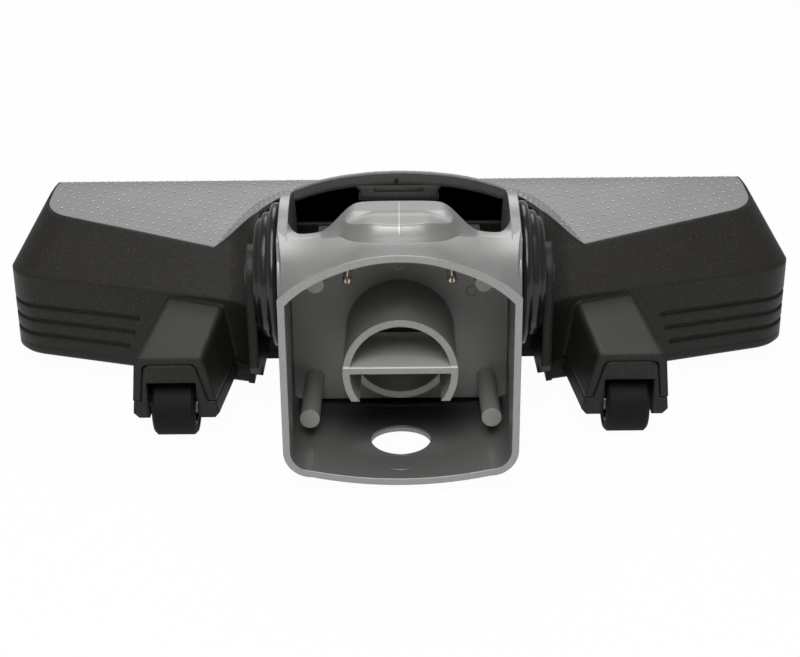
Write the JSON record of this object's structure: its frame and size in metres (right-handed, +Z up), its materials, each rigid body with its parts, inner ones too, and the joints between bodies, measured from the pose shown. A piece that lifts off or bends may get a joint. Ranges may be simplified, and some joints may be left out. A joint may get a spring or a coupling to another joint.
{
  "type": "vacuum floor brush head",
  "caption": "Powered vacuum floor brush head: swept black body with dotted grey top plate, rear wheels, driven brush roller and a tilting silver connector with an open mouth.",
  "frame": {"origin": "middle of the footprint on the floor, at the bottom centre of the overall box", "axes": "+X across the head to the right seen from the connector, +Y to the working front away from the connector mouth, +Z up from the floor"},
  "size_m": [0.32, 0.202, 0.087],
  "materials": {
    "black_plastic": "fine spark texture",
    "plate_grey": "satin with raised dots",
    "connector_silver": "satin metallic",
    "insert_grey": "satin",
    "sole_plastic": "satin",
    "bumper_rubber": "matt",
    "gloss_rubber": "gloss",
    "wheel_rubber": "matt",
    "belt_rubber": "matt",
    "screw_steel": "zinc",
    "shaft_steel": "ground",
    "motor_steel": "drawn",
    "roller_plastic": "satin",
    "bristle_nylon": "matt",
    "latch_plastic": "satin",
    "board_laminate": "solder mask",
    "contact_brass": "satin"
  },
  "bodies": {
    "head": {"upper_housing": "black_plastic", "lower_housing": "black_plastic", "top_plate": "plate_grey", "sole_plate": "sole_plastic", "bumper_strip": "bumper_rubber", "housing_screws": "screw_steel", "air_duct": "black_plastic", "drive_belt": "belt_rubber", "motor_can": "motor_steel", "motor_cap": "roller_plastic", "motor_strap": "motor_steel", "control_board": "board_laminate", "pivot_bush_left": "roller_plastic", "pivot_bush_right": "roller_plastic", "pivot_bellows_left": "gloss_rubber", "pivot_bellows_right": "gloss_rubber", "wheel_axle_left": "shaft_steel", "wheel_axle_right": "shaft_steel", "roller_bearing_left": "roller_plastic", "roller_bearing_right": "roller_plastic"},
    "connector": {"connector_shell": "connector_silver", "duct_insert": "insert_grey", "swivel_drum": "insert_grey", "pivot_journal_left": "insert_grey", "pivot_journal_right": "insert_grey", "pin_sleeve_left": "black_plastic", "pin_sleeve_right": "black_plastic", "contact_pin_left": "contact_brass", "contact_pin_right": "contact_brass"},
    "brush_roller": {"roller_shaft": "shaft_steel", "roller_core": "roller_plastic", "bristle_strips": "bristle_nylon", "roller_pulley": "roller_plastic"},
    "motor_armature": {"motor_rotor": "shaft_steel", "motor_pulley": "motor_steel"},
    "wheel_left": {"wheel_tyre_left": "wheel_rubber", "wheel_hub_left": "roller_plastic"},
    "latch_left": {"sole_latch_left": "latch_plastic"},
    "wheel_right": {"wheel_tyre_right": "wheel_rubber", "wheel_hub_right": "roller_plastic"},
    "latch_right": {"sole_latch_right": "latch_plastic"}
  },
  "joints": [
    {"name": "connector_tilt", "type": "hinge", "parent": "head", "child": "connector", "pos_m": [0, -0.026, 0.054], "axis": [-1, 0, 0], "range_deg": [0, 65]},
    {"name": "brush_spin", "type": "hinge", "parent": "head", "child": "brush_roller", "pos_m": [0, 0.062, 0.026], "axis": [1, 0, 0], "continuous": true},
    {"name": "motor_spin", "type": "hinge", "parent": "head", "child": "motor_armature", "pos_m": [-0.094, 0.0166, 0.027], "axis": [1, 0, 0], "continuous": true},
    {"name": "wheel_left_spin", "type": "hinge", "parent": "head", "child": "wheel_left", "pos_m": [-0.0834, -0.0495, 0.0115], "axis": [1, 0, 0], "continuous": true},
    {"name": "wheel_right_spin", "type": "hinge", "parent": "head", "child": "wheel_right", "pos_m": [0.0834, -0.0495, 0.0115], "axis": [1, 0, 0], "continuous": true},
    {"name": "latch_left_turn", "type": "hinge", "parent": "head", "child": "latch_left", "pos_m": [-0.139, 0.027, 0.006], "axis": [0, 0, 1], "range_deg": [0, 90]},
    {"name": "latch_right_turn", "type": "hinge", "parent": "head", "child": "latch_right", "pos_m": [0.139, 0.027, 0.006], "axis": [0, 0, 1], "range_deg": [0, 90]}
  ],
  "couplings": [
    {"joint": "motor_spin", "follows": "brush_spin", "ratio": 2.2}
  ]
}
